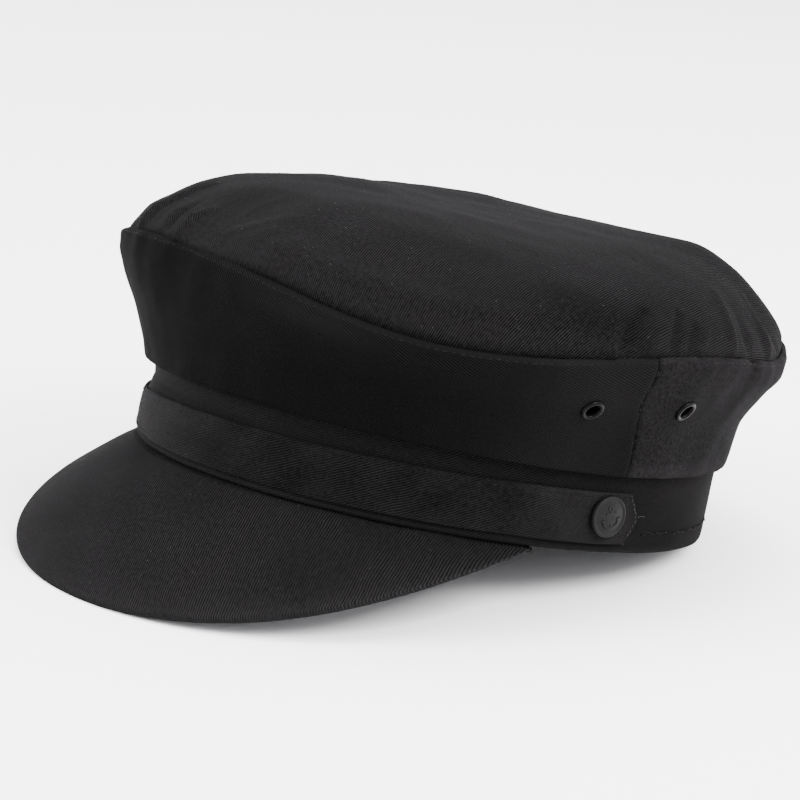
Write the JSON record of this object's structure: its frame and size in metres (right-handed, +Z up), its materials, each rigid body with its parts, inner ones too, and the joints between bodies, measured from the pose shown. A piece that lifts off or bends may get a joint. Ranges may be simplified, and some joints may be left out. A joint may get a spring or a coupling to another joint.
{
  "type": "breton fisherman cap",
  "caption": "Soft flat-topped fisherman cap with a puffed top, flared side wall, upright headband, strap with anchor buttons, vent eyelets and a sloping peak; head hollow open below.",
  "frame": {"origin": "on the table, under the middle of the cap's outline", "axes": "+Y towards the back of the cap, the peak along -Y; +X the wearer's left; +Z up"},
  "size_m": [0.2154, 0.2578, 0.1189],
  "materials": {
    "crown_twill": "black cotton twill, matt",
    "band_twill": "black cotton twill over a stiff band",
    "strap_twill": "black cotton twill strap with stitched edges",
    "visor_twill": "black cotton twill over a stiff peak board",
    "button_metal": "dark gunmetal, satin",
    "eyelet_enamel": "black enamel, gloss"
  },
  "bodies": {
    "root": {"crown_top": "crown_twill", "crown_front_panel": "crown_twill", "crown_back_panel": "crown_twill", "headband": "band_twill", "front_strap": "strap_twill", "visor": "visor_twill", "button_left": "button_metal", "button_right": "button_metal", "eyelet_left_front": "eyelet_enamel", "eyelet_left_back": "eyelet_enamel", "eyelet_right_front": "eyelet_enamel", "eyelet_right_back": "eyelet_enamel"}
  },
  "joints": []
}
